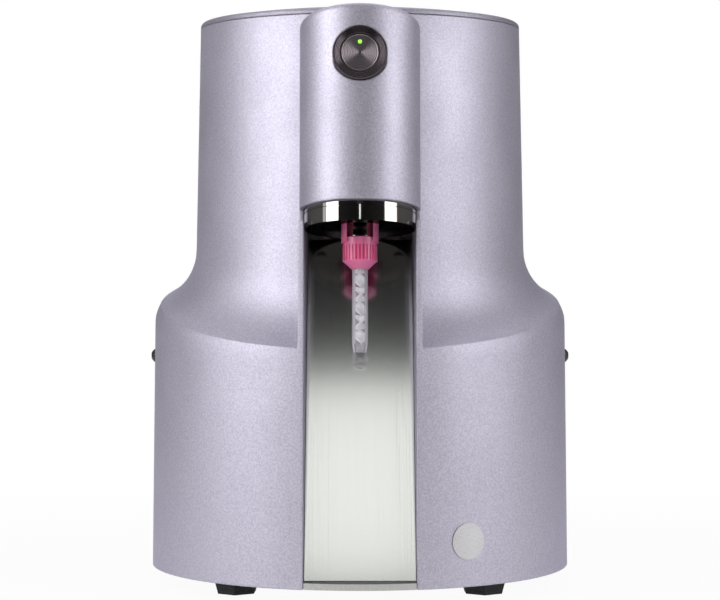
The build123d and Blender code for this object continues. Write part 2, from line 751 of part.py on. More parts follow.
with BuildPart() as bottle_sockets:
    with Locations([(x, y, socket_foot) for x, y in bottle_places]):
        Cylinder(socket_radius, deck_top - socket_foot, align=upwards)
    with Locations([(x, y, deck_top) for x, y in bottle_places]):
        Cylinder(socket_flange, 3, align=upwards)
    with Locations([(x, y, socket_seat) for x, y in bottle_places]):
        Cylinder(bottle_neck_radius + fit_gap, 20, align=upwards, mode=Mode.SUBTRACT)
    with Locations([(x, y, socket_foot) for x, y in bottle_places]):
        Cylinder(feed_radius + thread_gap, 3, align=upwards, mode=Mode.SUBTRACT)
        Cylinder(feed_bore, 20, align=upwards, mode=Mode.SUBTRACT)
keep_piece(bottle_sockets.part, "bottle_sockets")

with BuildPart() as feed_tubes:
    with Locations([(x, y, cover_top - 3) for x, y in bottle_places]):
        Cylinder(feed_radius, socket_foot - cover_top + 6, align=upwards)
        Cylinder(feed_bore, 200, mode=Mode.SUBTRACT)
keep_piece(feed_tubes.part, "feed_tubes")

for x, name in [(-bottle_x, "bottle_a"), (bottle_x, "bottle_b")]:
    with BuildPart() as bottle:
        with BuildSketch(Plane.XZ):
            with BuildLine():
                Polyline(
                    (0, bottle_top), (bottle_radius - 6, bottle_top), (bottle_radius, bottle_top - 6),
                    (bottle_radius, bottle_shoulder + 14), (bottle_neck_radius + 6, bottle_shoulder),
                    (bottle_neck_radius, bottle_shoulder), (bottle_neck_radius, bottle_neck_foot),
                    (0, bottle_neck_foot), close=True,
                )
            make_face()
        revolve(axis=Axis.Z)
    keep_piece(Pos(x, bottle_y, 0) * bottle.part, name)

# Gear outlines with involute flanks
pressure = radians(25)
backlash = 0.15
addendum_share = 0.9
dedendum_share = 1.15
flank_steps = 5


def involute(angle):
    return tan(angle) - angle


def gear_points(module, teeth, centre, phase):
    """Corners of a spur gear that has a tooth centred on the phase angle."""
    pitch = module * teeth / 2
    base = pitch * cos(pressure)
    tip = pitch + addendum_share * module
    root = pitch - dedendum_share * module
    half = (pi * module / 2 - backlash) / (2 * pitch) + involute(pressure)
    start = max(base, root)
    flank = [] if root >= base else [(root, half)]
    for step in range(flank_steps + 1):
        reach = start + (tip - start) * step / flank_steps
        flank.append((reach, half - involute(acos(base / reach))))
    for tooth in range(teeth):
        middle = radians(phase) + 2 * pi * tooth / teeth
        for reach, angle in [(reach, -angle) for reach, angle in flank] + flank[::-1]:
            yield centre[0] + reach * cos(middle + angle), centre[1] + reach * sin(middle + angle)


# Gear train between the motor and the two pumps
train_gap = train_module * (pinion_teeth + wheel_teeth) / 2
pump_gap = pump_module * pump_teeth
pump_places = [(-train_gap, pump_y), (train_gap, pump_y)]
idler_y = pump_y + pump_gap
port_y = pump_y + pump_gap / 2
inlet_shift = 9.0
plate_half = 78.0
plate_front = -33.0
plate_rear = 58.0
shaft_foot = train_foot - 3.0
shaft_end = pump_top + 2.8
standoff_shift = 25.0
standoff_radius = 4.0
motor_shaft_radius = 3.0

with BuildPart() as drive_plate:
    with BuildSketch(Plane.XY.offset(drive_plate_foot)):
        with Locations((0, (plate_front + plate_rear) / 2)):
            RectangleRounded(2 * plate_half, plate_rear - plate_front, 10)
        with Locations(post_places):
            Circle(post_radius + thread_gap, mode=Mode.SUBTRACT)
        with Locations(pump_places):
            Circle(shaft_radius + running_gap, mode=Mode.SUBTRACT)
        with Locations((0, pump_y)):
            Circle(8, mode=Mode.SUBTRACT)
    extrude(amount=drive_plate_thickness)
keep_piece(drive_plate.part, "drive_plate")

with BuildPart() as motor_case:
    with Locations((0, pump_y, motor_foot)):
        Cylinder(motor_radius, motor_top - motor_foot, align=upwards)
    fillet(edges().filter_by(GeomType.CIRCLE), 1.5)
    with BuildSketch(Plane.XY.offset(motor_top)):
        with Locations((0, pump_y)):
            SlotCenterToCenter(2 * standoff_shift, 12, rotation=90)
            Circle(motor_radius)
    extrude(amount=motor_flange)
    with Locations((0, pump_y, motor_top + motor_flange)):
        Hole(motor_shaft_radius + 0.2, 20)
keep_piece(motor_case.part, "motor_case")

with BuildPart() as motor_standoffs:
    with Locations([(0, pump_y + side * standoff_shift, motor_top + motor_flange) for side in (-1, 1)]):
        Cylinder(standoff_radius, drive_plate_foot - motor_top - motor_flange,
                 align=upwards)
keep_piece(motor_standoffs.part, "motor_standoffs")

with BuildPart() as drive_pinion:
    with BuildSketch(Plane.XY.offset(train_foot)):
        Polygon(*gear_points(train_module, pinion_teeth, (0, pump_y), 0), align=None)
    extrude(amount=train_width)
    with Locations((0, pump_y, motor_top + motor_flange - 19)):
        Cylinder(motor_shaft_radius, train_foot + train_width - motor_top - motor_flange + 19, align=upwards)
keep_piece(drive_pinion.part, "drive_pinion")

for side, name in [(-1, "a"), (1, "b")]:
    x = side * train_gap
    facing = 0 if side < 0 else 180
    with BuildPart() as wheel:
        with BuildSketch(Plane.XY.offset(train_foot)):
            phase = facing + 180 / wheel_teeth
            Polygon(*gear_points(train_module, wheel_teeth, (x, pump_y), phase), align=None)
            with Locations((x, pump_y)):
                Circle(shaft_radius + thread_gap, mode=Mode.SUBTRACT)
                with PolarLocations(15, 5):
                    Circle(5, mode=Mode.SUBTRACT)
        extrude(amount=train_width)
    keep_piece(wheel.part, "drive_wheel_" + name)

    with BuildPart() as pump_gear:
        with BuildSketch(Plane.XY.offset(cavity_foot + 0.2)):
            Polygon(*gear_points(pump_module, pump_teeth, (x, pump_y), 90), align=None)
        extrude(amount=pump_gear_width)
        with Locations((x, pump_y, shaft_foot)):
            Cylinder(shaft_radius, shaft_end - shaft_foot, align=upwards)
    keep_piece(pump_gear.part, "pump_gear_" + name)

    with BuildPart() as idler:
        with BuildSketch(Plane.XY.offset(cavity_foot + 0.2)):
            phase = -90 + 180 / pump_teeth
            Polygon(*gear_points(pump_module, pump_teeth, (x, idler_y), phase), align=None)
        extrude(amount=pump_gear_width)
        with Locations((x, idler_y, plate_top + 0.2)):
            Cylinder(shaft_radius, shaft_end - plate_top - 0.2, align=upwards)
    keep_piece(idler.part, "pump_idler_" + name)

    corners = [(x + over, port_y + along) for over in (-12.5, 12.5) for along in (-21.5, 21.5)]
    with BuildPart() as pump_body:
        with BuildSketch(Plane.XY.offset(plate_top)):
            with Locations((x, port_y)):
                RectangleRounded(33, 51, 4)
            with Locations((x, pump_y), (x, idler_y)):
                Circle(shaft_radius + running_gap, mode=Mode.SUBTRACT)
            with Locations(corners):
                Circle(1.8 + thread_gap, mode=Mode.SUBTRACT)
        extrude(amount=pump_top - plate_top)
        with BuildSketch(Plane.XY.offset(cavity_foot)):
            with Locations((x, pump_y), (x, idler_y)):
                Circle(pump_module * (pump_teeth / 2 + addendum_share) + 0.2)
            with Locations((x - inlet_shift, port_y), (x + inlet_shift, port_y)):
                Circle(3)
        extrude(amount=pump_top - cavity_foot, mode=Mode.SUBTRACT)
    keep_piece(pump_body.part, "pump_body_" + name)

    with BuildPart() as pump_cover_piece:
        with BuildSketch(Plane.XY.offset(pump_top)):
            with Locations((x, port_y)):
                RectangleRounded(33, 51, 4)
            with Locations(corners):
                Circle(1.8 + thread_gap, mode=Mode.SUBTRACT)
        extrude(amount=cover_top - pump_top)
        with BuildSketch(Plane.XY.offset(pump_top)):
            with Locations((x, pump_y), (x, idler_y)):
                Circle(shaft_radius + running_gap)
        extrude(amount=3, mode=Mode.SUBTRACT)
        with BuildSketch(Plane.XY.offset(pump_top)):
            with Locations((x + side * inlet_shift, port_y), (x - side * inlet_shift, port_y)):
                Circle(feed_bore)
        extrude(amount=5, mode=Mode.SUBTRACT)
        with BuildSketch(Plane.XY.offset(pump_top + 4)):
            with Locations((side * bottle_x, bottle_y), (x + side * inlet_shift, port_y)):
                Circle(feed_bore)
            with BuildLine():
                Polyline((side * bottle_x, bottle_y), (x + side * inlet_shift, port_y))
            trace(line_width=2 * feed_bore)
        extrude(amount=3, mode=Mode.SUBTRACT)
        with Locations((side * bottle_x, bottle_y, cover_top)):
            Hole(feed_radius + thread_gap, 3)
        with Locations((x - side * inlet_shift, port_y, cover_top)):
            Hole(hose_radius + thread_gap, hose_seat)
            Hole(hose_bore, cover_top - pump_top)
    keep_piece(pump_cover_piece.part, "pump_cover_" + name)

with BuildPart() as pump_screws:
    with Locations([
        (pump_side + over, port_y + along, cover_top)
        for pump_side in (-train_gap, train_gap) for over in (-12.5, 12.5) for along in (-21.5, 21.5)
    ]):
        Cylinder(1.8, cover_top - cavity_foot - 2, align=downwards)
        Cylinder(3.2, 3, align=upwards)
keep_piece(pump_screws.part, "pump_screws")

with BuildPart() as hoses:
    for side in (-1, 1):
        start = (side * (train_gap - inlet_shift), port_y)
        with BuildLine():
            FilletPolyline(
                (*start, cover_top - hose_seat),
                (*start, hose_level),
                (side * hose_pass_x, hose_rise_y, hose_level),
                (side * hose_in_x, hose_rise_y, hose_in_z),
                (side * hose_in_x, head_y + block_radius - hose_seat, hose_in_z),
                radius=6,
            )
        with BuildSketch(Plane.XY.offset(cover_top - hose_seat)):
            with Locations(start):
                Circle(hose_radius)
                Circle(hose_bore, mode=Mode.SUBTRACT)
        sweep()
keep_piece(hoses.part, "hoses")

# Rear panel with the power inlet and rocker
panel_half = 57.0
panel_foot = 13.0
panel_top = rear_opening_top + 8.0
rear_face = rear_flat + 2
inlet_x = 12.0
rocker_x = 40.0
power_z = 45.0
rocker_y = rear_face - 1.5
rocker_tilt = 8.0
flange_rise = 1.5

with BuildPart() as rear_panel:
    cover = upright_box(-panel_half, panel_half, rear_flat, rear_face, panel_foot, panel_top)
    add(cover)
    fillet(edges().filter_by(Axis.Y), 4)
    with Locations(Plane.XZ.offset(-rear_flat)):
        with Locations([(x, z) for x in (-rear_screw_x, rear_screw_x) for z in rear_screw_heights]):
            Cylinder(rear_screw_radius + thread_gap, 10, mode=Mode.SUBTRACT)
    with Locations((inlet_x, rear_face, power_z)):
        Box(27.6, 20, 20.6, mode=Mode.SUBTRACT)
    with Locations((rocker_x, rear_face, power_z)):
        Box(13.6, 20, 19.6, mode=Mode.SUBTRACT)
    with Locations([(side * 24, rear_face, 112 + 8 * step) for side in (-1, 1) for step in range(5)]):
        Box(32, 20, 3, mode=Mode.SUBTRACT)
keep_piece(rear_panel.part, "rear_panel")

with BuildPart() as rear_screws:
    with Locations(Plane.XZ.offset(-rear_face)):
        with Locations([(x, z) for x in (-rear_screw_x, rear_screw_x) for z in rear_screw_heights]):
            Cylinder(rear_screw_radius - thread_gap, 7, align=upwards)
            Cylinder(3, 1.6, align=downwards)
            Box(3.6, 0.7, 2.4, mode=Mode.SUBTRACT)
keep_piece(rear_screws.part, "rear_screws")

pin_places = [
    (inlet_x + over, rear_face - 19, power_z + rise) for over, rise in [(-7, -2), (0, 2), (7, -2)]
]

with BuildPart() as inlet_socket:
    with Locations((inlet_x, rear_face, power_z)):
        Box(27, 22, 20, align=(Align.CENTER, Align.MAX, Align.CENTER))
        Box(31, flange_rise, 25, align=(Align.CENTER, Align.MIN, Align.CENTER))
        Box(24, 32, 16, mode=Mode.SUBTRACT)
    with Locations(pin_places):
        Box(2 + thread_gap, 15, 4 + thread_gap, align=backwards, mode=Mode.SUBTRACT)
keep_piece(inlet_socket.part, "inlet_socket")

with BuildPart() as inlet_pins:
    with Locations(pin_places):
        Box(2, 15, 4, align=backwards)
keep_piece(inlet_pins.part, "inlet_pins")

with BuildPart() as rocker_frame:
    with Locations((rocker_x, rear_face, power_z)):
        Box(13, 14, 19, align=(Align.CENTER, Align.MAX, Align.CENTER))
        Box(17, flange_rise, 23, align=(Align.CENTER, Align.MIN, Align.CENTER))
        Box(10.4, 22, 16.4, mode=Mode.SUBTRACT)
    with Locations((rocker_x, rocker_y, power_z)):
        Cylinder(1, 11.4, rotation=(0, 90, 0), mode=Mode.SUBTRACT)
keep_piece(rocker_frame.part, "rocker_frame")

with BuildPart() as power_rocker:
    with BuildSketch(Plane.YZ.offset(rocker_x - 5)):
        with BuildLine():
            Polyline(
                (2.4, -7.6), (1.4, 0), (2.4, 7.6), (0, 7.6), (-3.5, 2.5), (-3.5, -2.5), (0, -7.6),
                close=True,
            )
        make_face()
    extrude(amount=10)
keep_piece(Pos(0, rocker_y, power_z) * Rot(-rocker_tilt, 0, 0) * power_rocker.part, "power_rocker")

# Power supply and control board on the base plate
with BuildPart() as power_supply:
    case = upright_box(-52, -4, rear_flat - 56, rear_flat - 20, base_top, base_top + 58)
    add(case)
    fillet(edges().filter_by(Axis.Z), 2)
keep_piece(power_supply.part, "power_supply")

with BuildPart() as control_board:
    board_y = rear_flat - 36
    board = upright_box(8, 52, board_y - 2, board_y, base_top, base_top + 78)
    add(board)
    chips = [(12, 26, 58, 72, 8), (32, 48, 54, 68, 5), (14, 24, 28, 44, 11)]
    for x_low, x_high, z_low, z_high, rise in chips:
        chip = upright_box(x_low, x_high, board_y, board_y + rise, base_top + z_low, base_top + z_high)
        add(chip)
keep_piece(control_board.part, "control_board")

# Blank round plate low on the front
badge_radius = 8.6
badge_turn = 26.3
badge_z = 30.3
badge_thickness = 0.5

with BuildPart() as badge_plate:
    with BuildSketch(Plane.XY.offset(badge_z - badge_radius)):
        Circle(body_radius + badge_thickness)
        Circle(body_radius + 0.02, mode=Mode.SUBTRACT)
    extrude(amount=2 * badge_radius)
    facing = radians(badge_turn - 90)
    badge_face = Plane((0, 0, badge_z), x_dir=(0, 0, 1), z_dir=(cos(facing), sin(facing), 0))
    with Locations(badge_face.offset(body_radius)):
        Cylinder(badge_radius, 20, mode=Mode.INTERSECT)
keep_piece(badge_plate.part, "badge_plate")
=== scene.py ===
# %% [markdown]
# A bench machine that pumps two silicone components through a disposable mixer. The packed
# model is the frame: it gives every solid at its real size. This lesson sets up a small
# product studio round it, gives each piece the finish of the real one, and adds the detail
# that a solid model leaves out.

# %% Load the frame
import json
import math

import bmesh
import bpy
from mathutils import Matrix, Vector


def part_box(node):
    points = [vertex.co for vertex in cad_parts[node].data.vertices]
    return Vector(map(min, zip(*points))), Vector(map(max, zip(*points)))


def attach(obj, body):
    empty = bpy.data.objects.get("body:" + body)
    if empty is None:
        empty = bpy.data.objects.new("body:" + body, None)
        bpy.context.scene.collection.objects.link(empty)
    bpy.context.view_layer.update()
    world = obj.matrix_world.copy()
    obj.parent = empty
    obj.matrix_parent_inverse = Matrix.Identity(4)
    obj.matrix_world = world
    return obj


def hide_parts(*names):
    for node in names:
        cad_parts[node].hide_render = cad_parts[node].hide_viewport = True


def in_mm(*lengths):
    """Lengths as millimetres, for printing."""
    return [round(length * 1000, 2) for length in lengths]


y_axis, z_axis = 1, 2
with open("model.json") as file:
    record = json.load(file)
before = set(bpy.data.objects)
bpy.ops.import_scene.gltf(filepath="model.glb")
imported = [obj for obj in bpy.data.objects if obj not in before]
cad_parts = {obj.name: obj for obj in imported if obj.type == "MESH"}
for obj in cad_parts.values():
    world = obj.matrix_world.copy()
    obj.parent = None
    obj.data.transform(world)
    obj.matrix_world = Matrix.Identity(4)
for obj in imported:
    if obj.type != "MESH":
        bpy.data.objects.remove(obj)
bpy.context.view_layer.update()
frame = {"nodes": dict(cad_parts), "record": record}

# %% [markdown]
# The photograph was taken from low down, a little over half a metre in front, so the head
# looms over the table and the uprights lean together. The camera is tilted up by a few
# degrees and shifted by the rest, which keeps the table edge out of the picture.

# %% Camera
eye_distance, eye_height = 0.5941, 0.0887
tilt_up = math.radians(3.18)
camera_data = bpy.data.cameras.new("photograph")
camera_data.lens = 53.35
camera_data.sensor_width = 36.0
camera_data.shift_y = 0.08
camera_data.clip_start = 0.01
camera = bpy.data.objects.new("photograph", camera_data)
camera.location = (0.0, -eye_distance, eye_height)
camera.rotation_euler = (math.radians(90) + tilt_up, 0.0, 0.0)
bpy.context.scene.collection.objects.link(camera)
bpy.context.scene.camera = camera
bpy.context.scene.view_settings.view_transform = "Standard"
print("camera in mm", in_mm(*camera.location))

# %% [markdown]
# Shader maths reads best as plain expressions. The class below wraps what comes out of a
# node, so that 1 - mask or grain * 0.2 adds the Math node it needs. It has only the
# operators that the finishes use, and each also works with the plain number in front.


# %% Shader expressions
class Amount:
    """What comes out of a node. Where it is a number, arithmetic on it adds Math nodes."""

    def __init__(self, finish, socket):
        self.finish = finish
        self.socket = socket

    def math(self, operation, first, second=0.0):
        return self.finish.node("ShaderNodeMath", {"operation": operation}, {0: first, 1: second})

    def __add__(self, other):
        return self.math("ADD", self, other)

    __radd__ = __add__

    def __sub__(self, other):
        return self.math("SUBTRACT", self, other)

    def __rsub__(self, other):
        return self.math("SUBTRACT", other, self)

    def __mul__(self, other):
        return self.math("MULTIPLY", self, other)

    __rmul__ = __mul__

    def wave(self, rate):
        """A sine between 0 and 1 along this amount."""
        return self.math("SINE", self * rate) * 0.5 + 0.5


print("expressions ready")

# %% [markdown]
# A finish is one material. Every node comes from a single method that takes its type, its
# settings and what its sockets get. The other methods name the few steps that most finishes
# share. All patterns read Object coordinates in metres, so they move with their piece.


# %% One finish
class Finish:
    """One material, built on a Principled shader whose constants sit on its own sockets."""

    def __init__(self, name, colour, **constants):
        self.material = bpy.data.materials.new(name)
        self.material.use_nodes = True
        self.tree = self.material.node_tree
        self.shader = self.tree.nodes["Principled BSDF"]
        self.colour((*colour, 1.0))
        self.feed(self.shader, {key.replace("_", " "): value for key, value in constants.items()})

    def node(self, kind, settings=None, sockets=None, output=0):
        """Adds a node, its settings first, and hands back one of its outputs."""
        made = self.tree.nodes.new(kind)
        for key, value in (settings or {}).items():
            setattr(made, key, value)
        self.feed(made, sockets or {})
        return Amount(self, made.outputs[output])

    def feed(self, node, sockets):
        """Gives each named socket of a node its link or its constant."""
        for key, value in sockets.items():
            if isinstance(value, Amount):
                self.tree.links.new(value.socket, node.inputs[key])
            else:
                node.inputs[key].default_value = value

    def colour(self, value):
        self.feed(self.shader, {"Base Color": value})

    def rough(self, value):
        self.feed(self.shader, {"Roughness": value})

    def bump(self, height, distance, strength=0.4, **under):
        """Presses a height into the surface, or into another normal given for it."""
        sockets = {"Height": height, "Distance": distance, "Strength": strength, **under}
        self.feed(self.shader, {"Normal": self.node("ShaderNodeBump", None, sockets)})

    def place(self, scale=(1.0, 1.0, 1.0), location=(0.0, 0.0, 0.0)):
        """Where a point lies, stretched by a scale along each axis and then shifted."""
        where = self.node("ShaderNodeTexCoord", output="Object")
        sockets = {"Vector": where, "Scale": scale, "Location": location}
        return self.node("ShaderNodeMapping", None, sockets)

    def off_axis(self, centre, axis):
        """How far a point lies from the line along x, y or z through a centre."""
        kept = [float(index != axis) for index in range(3)]
        flat = self.place(kept, [-value * share for value, share in zip(centre, kept)])
        return self.node("ShaderNodeVectorMath", {"operation": "LENGTH"}, {0: flat}, "Value")

    def noise(self, scale, detail=2.0, stretch=(1.0, 1.0, 1.0)):
        """A noise between 0 and 1 with so many waves to a metre."""
        sockets = {"Vector": self.place(stretch), "Scale": scale, "Detail": detail}
        return self.node("ShaderNodeTexNoise", None, sockets, "Fac")

    def spread(self, amount, span, to=(0.0, 1.0)):
        """Maps one range of an amount to another and stops at both ends."""
        sockets = {"Value": amount, "From Min": span[0], "From Max": span[1]}
        sockets.update({"To Min": to[0], "To Max": to[1]})
        return self.node("ShaderNodeMapRange", None, sockets)

    def mixed(self, share, first, second):
        """A colour between two colours."""
        sockets = {0: share, 6: (*first, 1.0), 7: (*second, 1.0)}
        return self.node("ShaderNodeMix", {"data_type": "RGBA"}, sockets, 2)


def shaded(tone, share):
    """A share of a tone's brightness."""
    return tuple(value * share for value in tone)


noise_middle = (0.3, 0.7)
print("most of a noise lies between", noise_middle)

# %% [markdown]
# The housing, the head and the lid carry a silver lacquer with a faint lilac cast. Its metal
# flakes give a fine sparkle and a broad satin sheen, so the colour is broken up by a very
# fine noise, and a coarser one moves the roughness a little. A Bevel node rounds the corners
# of the shading by a millimetre, as thick lacquer does, without more faces.


# %% Silver lacquer
def silver_lacquer(name, painted_shade=1.0):
    # A painted shade below one darkens both tones of the lacquer by that share.
    dark, light = shaded((0.47, 0.445, 0.535), painted_shade), shaded((0.61, 0.585, 0.68), painted_shade)
    lilac_edge = (0.5, 0.48, 0.58, 1.0)
    flake_scale, cloud_scale, corner_radius = 1250.0, 38.0, 0.0011
    paint = Finish(name, light, Metallic=0.8, Roughness=0.56, Specular_Tint=lilac_edge)
    flakes = paint.noise(flake_scale)
    clouds = paint.noise(cloud_scale, detail=3.0)
    corners = paint.node("ShaderNodeBevel", {"samples": 6}, {"Radius": corner_radius})
    paint.colour(paint.mixed(paint.spread(flakes, (0.34, 0.66)), dark, light))
    paint.rough(paint.spread(clouds, noise_middle, (0.53, 0.59)))
    paint.bump(flakes, distance=0.00008, strength=0.3, Normal=corners)
    return paint.material


# The lid's top faces up towards the dark room, so its copy of the lacquer is made darker: painted
# shade.
lid_painted_shade = 0.74
finishes = {
    "silver_paint": silver_lacquer("silver_lacquer"),
    "lid_paint": silver_lacquer("lid_lacquer_painted_shade", lid_painted_shade),
}
print("finishes", sorted(finishes))

# %% [markdown]
# The splash panel is stainless sheet brushed from top to bottom. The brush lines are a noise
# squeezed across the sheet and drawn out along it. They change the roughness and a shallow
# bump, so the dark room above and the pale table below blur upwards into each other.


# %% Brushed sheet
def brushed_sheet(name, tone, across=2600.0, along=9.0, streak_share=0.15):
    """Sheet brushed along z, with so many lines to a metre each way."""
    sheet = Finish(name, tone, Metallic=1.0, Roughness=0.13)
    lines = sheet.noise(1.0, detail=3.0, stretch=(across, 0.0, along))
    streaks = sheet.noise(1.0, stretch=(across / 9, 0.0, along / 3))
    brushed = lines * (1.0 - streak_share) + streaks * streak_share
    sheet.colour(sheet.mixed(sheet.spread(brushed, noise_middle), shaded(tone, 0.93), tone))
    sheet.rough(sheet.spread(lines, (0.35, 0.65), (0.12, 0.14)))
    sheet.bump(lines, distance=0.00003)
    return sheet.material


finishes["brushed_steel"] = brushed_sheet("brushed_panel", (0.68, 0.7, 0.665))
print("panel finish", finishes["brushed_steel"].name)

# %% [markdown]
# The outlet ring is polished chrome. Nothing shows on it but what it mirrors, so its one
# pattern is a faint change of roughness, like wiped finger marks. The other metals are bare
# and matt: a fine speckle moves their tone, their roughness and a shallow bump together.


# %% Chrome and bare metals
def polished_chrome(name):
    plate = Finish(name, (0.38, 0.36, 0.335), Metallic=1.0, Roughness=0.05)
    smears = plate.noise(90.0, detail=4.0)
    plate.rough(plate.spread(smears, (0.35, 0.75), (0.035, 0.06)))
    return plate.material


def bare_metal(name, tone, roughness, grain=700.0, **constants):
    metal = Finish(name, tone, Metallic=1.0, Roughness=roughness, **constants)
    speckle = metal.noise(grain, detail=4.0)
    metal.colour(metal.mixed(metal.spread(speckle, noise_middle), shaded(tone, 0.82), tone))
    metal.rough(metal.spread(speckle, noise_middle, (roughness * 0.8, roughness * 1.25)))
    metal.bump(speckle, distance=0.00005, strength=0.3)
    return metal.material


finishes["chrome"] = polished_chrome("polished_ring")
finishes["zinc_steel"] = bare_metal("zinc_steel", (0.62, 0.62, 0.6), roughness=0.34)
finishes["aluminium"] = bare_metal(
    "machined_aluminium", (0.72, 0.73, 0.74), roughness=0.3, grain=1500.0
)
finishes["brass"] = bare_metal("gear_brass", (0.72, 0.55, 0.26), roughness=0.28, grain=1200.0)
finishes["plate_silver"] = bare_metal(
    "blank_plate", (0.62, 0.61, 0.63), roughness=0.32, grain=1800.0
)
print("finishes", len(finishes))

# %% [markdown]
# Moulded plastic and rubber are not smooth: a tool leaves a fine spark-eroded grain. Each
# colour below shares one recipe, and only the tone, the gloss and the depth of the grain
# change.


# %% Plastics, rubber and powder coat
def moulded(name, tone, roughness, grain=1400.0, depth=0.00008, **constants):
    plastic = Finish(name, tone, Roughness=roughness, **constants)
    texture = plastic.noise(grain)
    patches = plastic.noise(grain / 30)
    lift, least = 1.12, 0.004
    lighter = tuple(min(1.0, value * lift + least) for value in tone)
    plastic.colour(plastic.mixed(plastic.spread(patches, noise_middle), tone, lighter))
    plastic.rough(plastic.spread(texture, noise_middle, (roughness * 0.85, roughness * 1.15)))
    plastic.bump(texture, depth)
    return plastic.material


finishes["black_rubber"] = moulded(
    "foot_rubber", (0.018, 0.018, 0.02), roughness=0.75, grain=900.0, depth=0.0001
)
finishes["black_plastic"] = moulded("black_moulding", (0.022, 0.022, 0.024), roughness=0.45)
finishes["black_screw"] = moulded("black_screw", (0.012, 0.012, 0.014), roughness=0.35)
finishes["dark_paint"] = moulded(
    "grey_powder_coat", (0.13, 0.13, 0.14), roughness=0.5, grain=1100.0, depth=0.00012
)
finishes["white_plastic"] = moulded(
    "mixing_element", (0.93, 0.91, 0.95), roughness=0.35, grain=1500.0, depth=0.00003
)
finishes["bottle_blue"] = moulded("blue_bottle", (0.16, 0.3, 0.62), roughness=0.42, grain=700.0)
finishes["bottle_white"] = moulded("white_bottle", (0.8, 0.8, 0.77), roughness=0.42, grain=700.0)
finishes["bezel_black"] = moulded(
    "bezel_black", (0.07, 0.057, 0.064), roughness=0.24, grain=2500.0, depth=0.00002,
    Metallic=1.0,
)
print("finishes", len(finishes))

# %% [markdown]
# The mixer's tube and the hoses are clear plastic with thin walls. Light passes such a wall
# almost straight, so a low alpha that rises towards the edges looks right, keeps the white
# mixing element inside well lit, and carries over to other programs better than refraction.


# %% Clear plastics
def clear_moulding(name, tone, roughness, facing_alpha, edge_alpha):
    clear = Finish(name, tone, Roughness=roughness, IOR=1.5)
    facing = clear.node("ShaderNodeLayerWeight", None, {"Blend": 0.5}, "Facing")
    haze = clear.noise(160.0, detail=3.0)
    alpha = clear.spread(facing, (0.25, 0.9), (facing_alpha, edge_alpha))
    clear.feed(clear.shader, {"Alpha": alpha})
    clear.rough(clear.spread(haze, (0.3, 0.75), (roughness * 0.7, roughness * 1.5)))
    return clear.material


finishes["clear_plastic"] = clear_moulding(
    "mixer_clear", (0.98, 0.95, 1.0), roughness=0.08, facing_alpha=0.14, edge_alpha=0.85
)
finishes["hose_clear"] = clear_moulding(
    "hose_milky", (0.82, 0.84, 0.82), roughness=0.3, facing_alpha=0.55, edge_alpha=0.95
)
print("finishes", len(finishes))

# %% [markdown]
# The lamp in the button is a green lens with a light behind it. A lit bulb inside would need
# a hollow lens and many rays, so the lens gives off a little of its own colour instead. The
# control board hides inside the machine: green lacquer over copper tracks, which a pattern
# of square cells suggests well enough.


# %% Lamp and circuit board
def lamp_lens(name, tone, strength):
    lens = Finish(name, tone, Roughness=0.2, Emission_Strength=strength)
    core = lens.spread(lens.noise(1500.0, detail=1.0), (0.2, 0.8))
    lift = 0.08
    brighter = tuple(min(1.0, value + lift) for value in tone)
    lens.feed(lens.shader, {"Emission Color": lens.mixed(core, tone, brighter)})
    return lens.material


def circuit_board(name, lacquer, track):
    board = Finish(name, lacquer, Roughness=0.35)
    squares = {"Vector": board.place(), "Scale": 260.0}
    cells = board.node("ShaderNodeTexVoronoi", {"distance": "CHEBYCHEV"}, squares, "Distance")
    tracks = board.spread(cells, (0.42, 0.47))
    board.colour(board.mixed(tracks, lacquer, track))
    board.bump(tracks, distance=0.00004)
    return board.material


finishes["led_green"] = lamp_lens("green_lens", (0.3, 0.85, 0.04), strength=0.9)
finishes["board_green"] = circuit_board("circuit_board", (0.02, 0.16, 0.07), (0.05, 0.3, 0.12))
print("finishes", len(finishes))

# %% [markdown]
# The button is a turned disc. A lathe leaves fine rings round its axis, so its pattern is a
# wave on the distance from the button's centre.


# %% Turned button
def turned_disc(name, tone, centre, rate=26000.0):
    """Metal turned round the y axis, with rings at a rate in radians to a metre."""
    disc = Finish(name, tone, Metallic=1.0, Roughness=0.34)
    rings = disc.off_axis(centre, y_axis).wave(rate)
    disc.colour(disc.mixed(rings, shaded(tone, 0.85), tone))
    disc.rough(disc.spread(rings, (0.0, 1.0), (0.28, 0.36)))
    return disc.material


cap_low, cap_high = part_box("button_cap")
button_centre = (cap_low + cap_high) / 2
finishes["button_black"] = turned_disc("turned_button", (0.14, 0.12, 0.13), button_centre)
print("button centre in mm", in_mm(*button_centre))

# %% [markdown]
# The mixer's collar is pink plastic with upright ribs to grip. The grooves between the ribs lie
# in their own shade, but soft studio light fills them in, so a darker pink is painted in as shade
# wherever a point is as far from the mixer's axis as the bottom of a groove and stands between
# the ends of the ribs.


# %% Ribbed pink collar
def in_band(finish, amount, low, high, soft):
    """One inside a band of an amount and none outside, with soft edges."""
    above = finish.spread(amount, (low, low + soft))
    return above * (1.0 - finish.spread(amount, (high - soft, high)))


def ribbed_collar(name, tone, groove_painted_shade, centre, groove_radius, rib_foot, rib_top):
    """Glossy pink with painted shade in its grooves."""
    half_width, side_soft, end_soft, grain = 0.0002, 0.0001, 0.0004, 1500.0
    inner, outer = groove_radius - half_width, groove_radius + half_width
    plastic = Finish(name, tone, Roughness=0.33, Subsurface_Weight=0.3, Subsurface_Scale=0.003)
    reach = plastic.off_axis(centre, z_axis)
    height = plastic.node("ShaderNodeSeparateXYZ", None, {0: plastic.place()}, "Z")
    groove = in_band(plastic, reach, inner, outer, side_soft)
    between_ends = in_band(plastic, height, rib_foot, rib_top, end_soft)
    texture = plastic.noise(grain)
    # Where a point lies in a groove between the rib ends, a darker pink is painted in as shade.
    plastic.colour(plastic.mixed(groove * between_ends, tone, groove_painted_shade))
    plastic.rough(plastic.spread(texture, noise_middle, (0.28, 0.38)))
    plastic.bump(texture, distance=0.00004)
    return plastic.material


